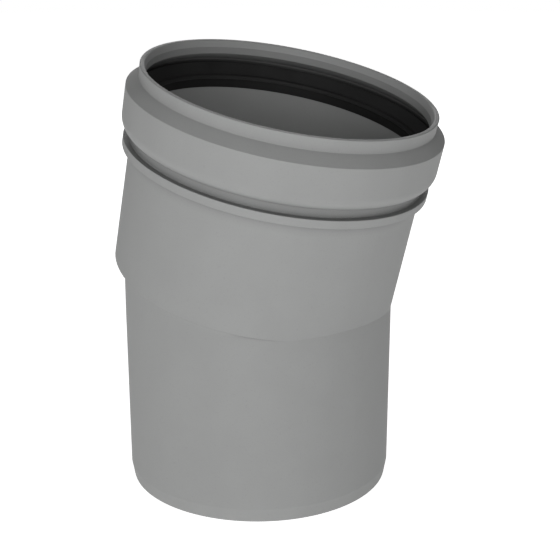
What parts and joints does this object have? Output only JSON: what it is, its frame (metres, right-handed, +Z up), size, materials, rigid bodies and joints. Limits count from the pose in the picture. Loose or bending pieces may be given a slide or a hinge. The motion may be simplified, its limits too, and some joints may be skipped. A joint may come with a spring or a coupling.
{
  "type": "push-fit drain bend",
  "caption": "Grey 15 degree push-fit pipe bend with a spigot end, a stepped socket, a clip-on seal retaining cap and a black rubber lip seal.",
  "frame": {"origin": "centre of the spigot's end face, on the spigot's axis", "axes": "+Z up the spigot's axis, from its open end towards the socket; +X the side the socket leans to; Y across the bend, which is symmetric about the XZ plane"},
  "size_m": [0.1344, 0.1244, 0.1784],
  "materials": {
    "body_plastic": "satin moulded grey plastic",
    "cap_plastic": "satin moulded grey plastic",
    "seal_rubber": "matt black rubber"
  },
  "bodies": {
    "elbow": {"elbow_body": "body_plastic"},
    "cap": {"retaining_cap": "cap_plastic"},
    "seal": {"lip_seal": "seal_rubber"}
  },
  "joints": [
    {"name": "cap_pull_off", "type": "slide", "parent": "elbow", "child": "cap", "axis": [0.2588, 0, 0.9659], "range_m": [0, 0.04]},
    {"name": "seal_lift_out", "type": "slide", "parent": "elbow", "child": "seal", "axis": [0.2588, 0, 0.9659], "range_m": [0, 0.02]}
  ],
  "couplings": [
    {"joint": "seal_lift_out", "follows": "cap_pull_off", "ratio": 0.5}
  ]
}
